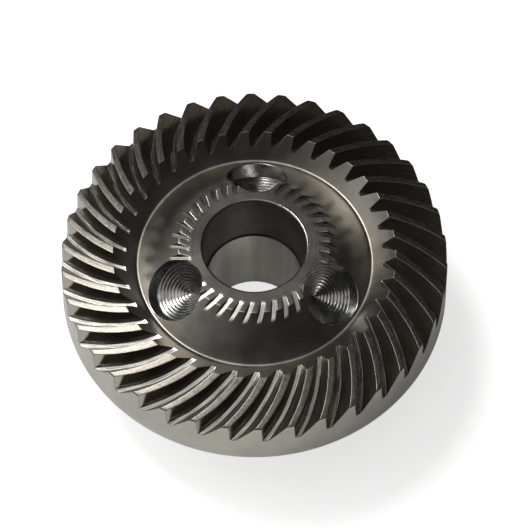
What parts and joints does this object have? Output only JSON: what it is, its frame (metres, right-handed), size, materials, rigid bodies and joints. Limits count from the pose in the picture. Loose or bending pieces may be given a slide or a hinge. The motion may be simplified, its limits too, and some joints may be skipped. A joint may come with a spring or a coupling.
{
  "type": "spiral bevel gear",
  "caption": "Spiral bevel gear with right-hand curved teeth, a raised hub with a stepped spindle bore and slanted blind holes for a spindle lock pin.",
  "frame": {"origin": "centre of the bore at the hub's end face, which the gear stands on", "axes": "+Z along the bore axis, towards the teeth; +Y towards one lock hole"},
  "size_m": [0.065, 0.065, 0.027],
  "materials": {
    "gear_steel": "dark hardened steel with machined faces"
  },
  "bodies": {
    "root": {"bevel_gear": "gear_steel"}
  },
  "joints": []
}
